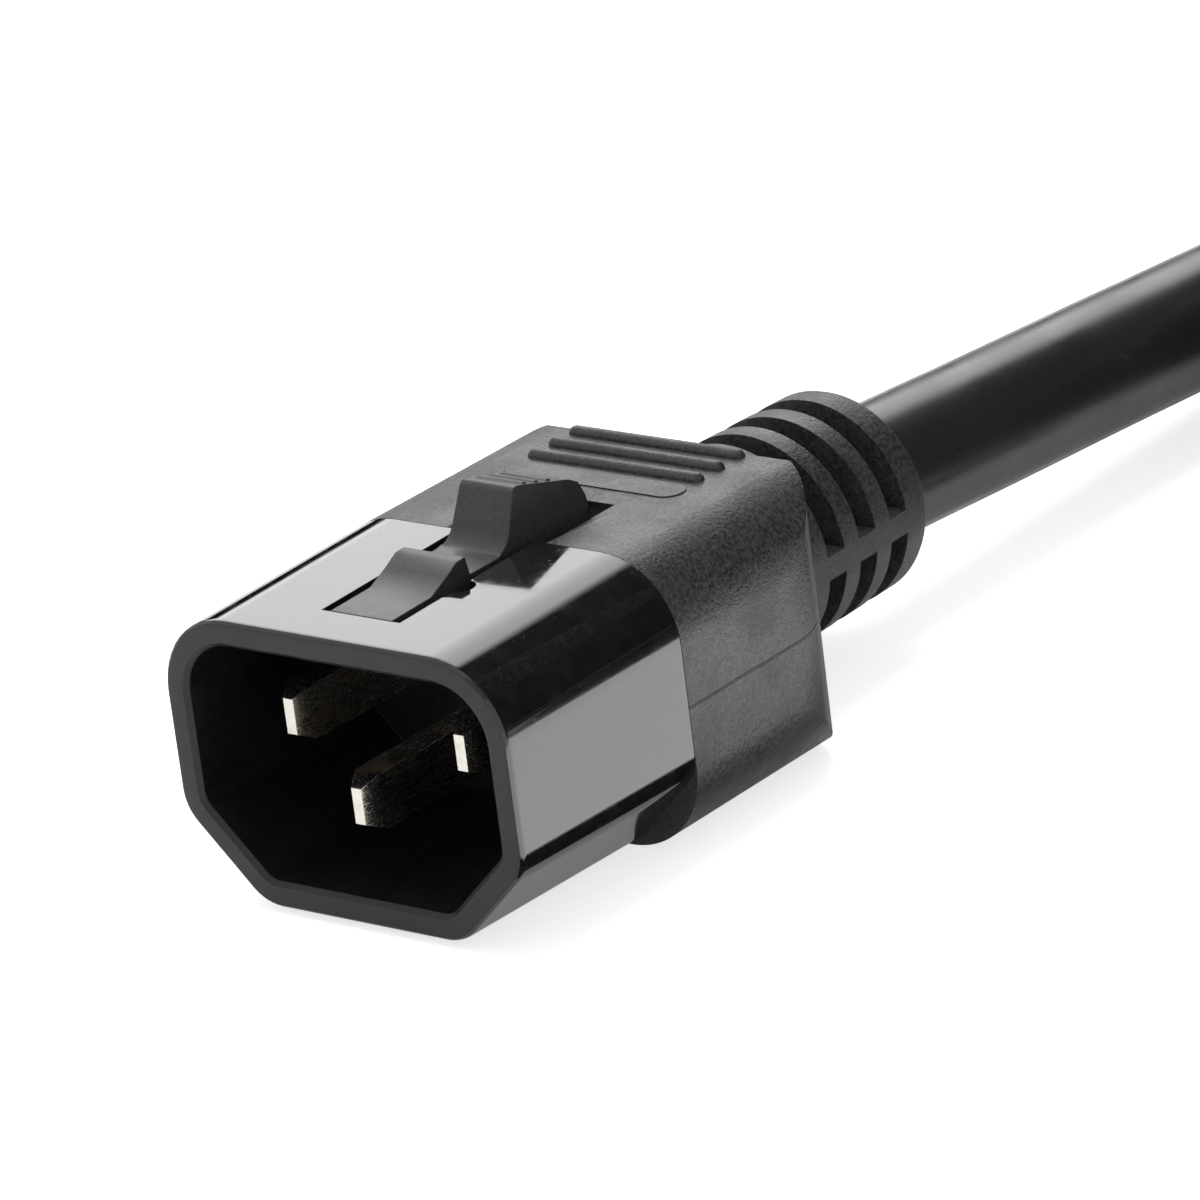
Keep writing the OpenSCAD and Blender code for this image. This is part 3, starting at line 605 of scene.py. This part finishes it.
def stack_outline(sizes, count):
    """Points and outward directions round the three stacked turns, from the top round the outer side."""
    outer, inner, top, low_height, rise = coil_radii(sizes)
    centres = [Vector((top, low_height + rise)), Vector((outer, low_height)), Vector((inner, low_height))]
    lean = math.atan2(top - inner, rise)
    starts = [math.pi - lean, lean, -math.pi / 2]
    ends = [lean, -math.pi / 2, -math.pi - lean]
    pieces, reach = [], sizes.diameter / 2
    for i in range(3):
        pieces.append(("arc", centres[i], starts[i], ends[i], reach * abs(starts[i] - ends[i])))
        way = Vector((math.cos(ends[i]), math.sin(ends[i])))
        here, after = centres[i] + reach * way, centres[(i + 1) % 3] + reach * way
        pieces.append(("run", here, after, ends[i], (after - here).length))
    total = sum(piece[-1] for piece in pieces)
    outline = []
    for k in range(count):
        left = total * k / count
        for piece in pieces:
            if left <= piece[-1]:
                break
            left -= piece[-1]
        share = left / piece[-1]
        if piece[0] == "arc":
            angle = piece[2] + (piece[3] - piece[2]) * share
            way = Vector((math.cos(angle), math.sin(angle)))
            outline.append((piece[1] + reach * way, way))
        else:
            way = Vector((math.cos(piece[3]), math.sin(piece[3])))
            outline.append((piece[1].lerp(piece[2], share), way))
    return outline, total


def wrap_tape(name, centre_angle, sizes):
    """A tape once round the stack, whose rounded end lies over its start on the outer side."""
    count, rows, overlap, lift_from = 120, 10, 0.3, 0.92
    gap = 0.04 * MM
    outline, total = stack_outline(sizes, count)
    top = coil_radii(sizes)[2]
    thick, width, crown, corner = sizes.tape_thickness, sizes.tape_width, 0.08 * MM, 2.5 * MM
    last = int(count * (1 + overlap))
    mesh = bmesh.new()
    marks = mesh.loops.layers.uv.new("UVMap")
    grid = {}
    for k in range(last + 1):
        turn = k / count
        spot, way = outline[k % count]
        base = gap + (thick + gap) * ease(turn, lift_from, 1.0)
        from_end = (last - k) / count * total
        pull = corner - math.sqrt(max(0.0, corner ** 2 - max(0.0, corner - from_end) ** 2))
        half = width / 2 - pull
        for layer in ("in", "out"):
            for row in range(rows + 1):
                share = row / rows * 2 - 1
                away = base if layer == "in" else base + thick - crown * share ** 4
                point = spot + way * away
                angle = centre_angle + share * half / top
                grid[layer, k, row] = mesh.verts.new(round_coil(angle, point.x, point.y))

    def face(*keys):
        made = mesh.faces.new([grid[key] for key in keys])
        made.smooth = True
        for loop, key in zip(made.loops, keys):
            loop[marks].uv = (key[2] / rows, key[1] / count)

    for k in range(last):
        for row in range(rows):
            face(("out", k, row), ("out", k + 1, row), ("out", k + 1, row + 1), ("out", k, row + 1))
            face(("in", k, row), ("in", k, row + 1), ("in", k + 1, row + 1), ("in", k + 1, row))
        face(("in", k, 0), ("in", k + 1, 0), ("out", k + 1, 0), ("out", k, 0))
        face(("in", k + 1, rows), ("in", k, rows), ("out", k, rows), ("out", k + 1, rows))
    for row in range(rows):
        face(("in", 0, row), ("out", 0, row), ("out", 0, row + 1), ("in", 0, row + 1))
        face(("in", last, row + 1), ("out", last, row + 1), ("out", last, row), ("in", last, row))
    bmesh.ops.recalc_face_normals(mesh, faces=mesh.faces)
    data = bpy.data.meshes.new(name)
    mesh.to_mesh(data)
    mesh.free()
    tape = bpy.data.objects.new(name, data)
    bpy.context.scene.collection.objects.link(tape)
    edges = tape.modifiers.new("turned edges", "BEVEL")
    edges.width, edges.segments = 0.15 * MM, 2
    edges.limit_method, edges.angle_limit = "ANGLE", math.radians(50)
    return tape


class PLUG_OT_tapes(bpy.types.Operator):
    """Wraps the two hook-and-loop tapes round the coil"""
    bl_idname = "plug.tapes"
    bl_label = "Tapes"

    def execute(self, context):
        sizes = context.scene.plug_cord
        napped = looped_tape(sizes)
        for side, angle in TAPE_ANGLES:
            tape = wrap_tape("coil_tape_" + side, math.radians(angle), sizes)
            tape.data.materials.append(napped)
            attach(tape, "plug")
            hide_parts("coil_strap_" + side)
        return {"FINISHED"}


# ---------------------------------------------------------------- studio

def studio_world(setup):
    """Even fill light, a white backdrop, and a softbox between dark flags in the reflections."""
    world = bpy.data.worlds.new("studio")
    bpy.context.scene.world = world
    world.use_nodes = True
    g = Graph(world.node_tree)
    x, y, z = g.split(g.node("ShaderNodeTexCoord").outputs["Generated"])
    azimuth = g.math("MULTIPLY", g.math("ARCTAN2", x, y), 180 / math.pi)
    height = g.math("MULTIPLY", g.math("ARCSINE", z), 180 / math.pi)
    softbox = g.math("MULTIPLY", g.band(azimuth, *SOFTBOX_AROUND), g.band(height, *SOFTBOX_UP))
    flag = g.math("MULTIPLY", g.band(azimuth, *FLAG_AROUND), g.band(height, *FLAG_UP))
    level = g.math("MULTIPLY", g.math("SUBTRACT", 1.0, flag), SKY_LEVEL)
    level = g.math("ADD", level, g.math("MULTIPLY", softbox, setup.softbox))
    rays = g.node("ShaderNodeLightPath").outputs
    mirrored = g.math("MAXIMUM", rays["Is Glossy Ray"], rays["Is Transmission Ray"])
    strength = g.math("ADD", g.math("MULTIPLY", mirrored, level),
                      g.math("MULTIPLY", g.math("SUBTRACT", 1.0, mirrored), setup.fill))
    strength = g.math("MAXIMUM", strength, rays["Is Camera Ray"])
    background = g.node("ShaderNodeBackground", WHITE, strength)
    output = g.node("ShaderNodeOutputWorld")
    g.feed(output.inputs["Surface"], background.outputs[0])


def flat_card(name, low, high, height):
    """A level rectangle of the studio, from its low to its high corner."""
    data = bpy.data.meshes.new(name)
    data.from_pydata([(low[0], low[1], height), (high[0], low[1], height), (high[0], high[1], height),
                      (low[0], high[1], height)], [], [(0, 1, 2, 3)])
    card = bpy.data.objects.new(name, data)
    bpy.context.scene.collection.objects.link(card)
    return card


def reflected_only(card):
    """Leaves a card to reflections alone."""
    card.visible_camera = card.visible_diffuse = card.visible_shadow = False
    card.visible_transmission = card.visible_volume_scatter = False


def white_floor():
    """A white table that stays white round the object and keeps a faint shadow under it."""
    seen_glow, camera_glow = 0.25, 0.72
    material, g = material_graph("white_table")
    rays = g.node("ShaderNodeLightPath").outputs
    seen = g.math("MAXIMUM", rays["Is Glossy Ray"], rays["Is Transmission Ray"])
    paint = g.node("ShaderNodeBsdfDiffuse", (0.8, 0.8, 0.8, 1))
    level = g.math("ADD", g.math("MULTIPLY", seen, seen_glow),
                   g.math("MULTIPLY", rays["Is Camera Ray"], camera_glow))
    glow = g.node("ShaderNodeEmission", WHITE, level)
    both = g.node("ShaderNodeAddShader", paint.outputs[0], glow.outputs[0])
    g.feed(g.node("ShaderNodeOutputMaterial").inputs["Surface"], both.outputs[0])
    return material


def glowing(name, level):
    """A card's own light; at level 0 it is black."""
    material, g = material_graph(name)
    g.feed(g.node("ShaderNodeOutputMaterial").inputs["Surface"],
           g.node("ShaderNodeEmission", WHITE, level).outputs[0])
    return material


def area_lamp(name, place, size, watts):
    """A square lamp aimed at the origin, which lights surfaces but isn't seen in them."""
    data = bpy.data.lights.new(name, "AREA")
    data.shape, data.size, data.energy = "SQUARE", size, watts
    lamp = bpy.data.objects.new(name, data)
    bpy.context.scene.collection.objects.link(lamp)
    lamp.location = place
    lamp.rotation_euler = (-Vector(place)).to_track_quat("-Z", "Y").to_euler()
    lamp.visible_camera = lamp.visible_glossy = False


class PLUG_OT_studio(bpy.types.Operator):
    """Sets up the camera, the white table, the lamps and the cards"""
    bl_idname = "plug.studio"
    bl_label = "Studio"

    def execute(self, context):
        setup, scene = context.scene.plug_studio, context.scene
        rim_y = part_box("shroud")[0].y
        a, e, r = setup.azimuth, setup.elevation, setup.roll
        back = Vector((math.sin(a) * math.cos(e), -math.cos(a) * math.cos(e), math.sin(e)))
        right = Vector((math.cos(a), math.sin(a), 0))
        up = back.cross(right)
        right, up = math.cos(r) * right + math.sin(r) * up, math.cos(r) * up - math.sin(r) * right
        aim = Vector((0, rim_y, AXIS_HEIGHT)) + AIM_RIGHT * right + AIM_UP * up
        data = bpy.data.cameras.new("camera")
        data.sensor_width, data.lens = 36, setup.lens
        data.clip_start, data.clip_end = 0.01, 20
        camera = bpy.data.objects.new("camera", data)
        scene.collection.objects.link(camera)
        turn = Matrix((right, up, back)).transposed().to_4x4()
        camera.matrix_world = Matrix.Translation(aim + back * setup.distance) @ turn
        scene.camera = camera
        scene.view_settings.view_transform = "Standard"

        studio_world(setup)
        floor = flat_card("table", (-TABLE_REACH, -TABLE_REACH), (TABLE_REACH, TABLE_REACH), -CARD_HEIGHT)
        floor.data.materials.append(white_floor())
        card = flat_card("side_card", *CARD_CORNERS, CARD_HEIGHT)
        card.data.materials.append(glowing("bright_card", setup.card))
        reflected_only(card)
        # Painted shadow: a black card beside the plug, seen only in reflections, stands in for the plug's contact
        # shadow on the table
        shadow_card = flat_card("dark_strip", *PAINTED_SHADOW_CORNERS, CARD_HEIGHT)
        shadow_card.data.materials.append(glowing("painted_shadow_black", 0.0))
        reflected_only(shadow_card)
        area_lamp("overhead", place=(-0.25, 0.1, 0.8), size=0.6, watts=5.5)
        return {"FINISHED"}


class PLUG_PT_sidebar(bpy.types.Panel):
    """Lists the plug's pieces and settings"""
    bl_idname = "PLUG_PT_sidebar"
    bl_label = "Power plug"
    bl_space_type = "VIEW_3D"
    bl_region_type = "UI"
    bl_category = "Power plug"

    def draw(self, context):
        layout = self.layout
        for piece in PIECES:
            layout.operator(piece.bl_idname)
        for settings in (context.scene.plug_finishes, context.scene.plug_cord, context.scene.plug_studio):
            box = layout.box()
            for name in settings.__annotations__:
                box.prop(settings, name)


PIECES = (PLUG_OT_studio, PLUG_OT_tapes, PLUG_OT_cord, PLUG_OT_shroud, PLUG_OT_latch, PLUG_OT_grip,
          PLUG_OT_blades, PLUG_OT_inner_parts)
CLASSES = (PlugFinishes, CordSizes, StudioSetup, *PIECES, PLUG_PT_sidebar)


def register():
    for item in CLASSES:
        bpy.utils.register_class(item)
    bpy.types.Scene.plug_finishes = PointerProperty(type=PlugFinishes)
    bpy.types.Scene.plug_cord = PointerProperty(type=CordSizes)
    bpy.types.Scene.plug_studio = PointerProperty(type=StudioSetup)


def unregister():
    del bpy.types.Scene.plug_studio
    del bpy.types.Scene.plug_cord
    del bpy.types.Scene.plug_finishes
    for item in reversed(CLASSES):
        bpy.utils.unregister_class(item)


def main():
    register()
    bpy.ops.plug.studio()
    bpy.ops.plug.tapes()
    bpy.ops.plug.cord()
    bpy.ops.plug.shroud()
    bpy.ops.plug.latch()
    bpy.ops.plug.grip()
    bpy.ops.plug.blades()
    bpy.ops.plug.inner_parts()
    bpy.context.view_layer.update()


if __name__ == "__main__":
    main()
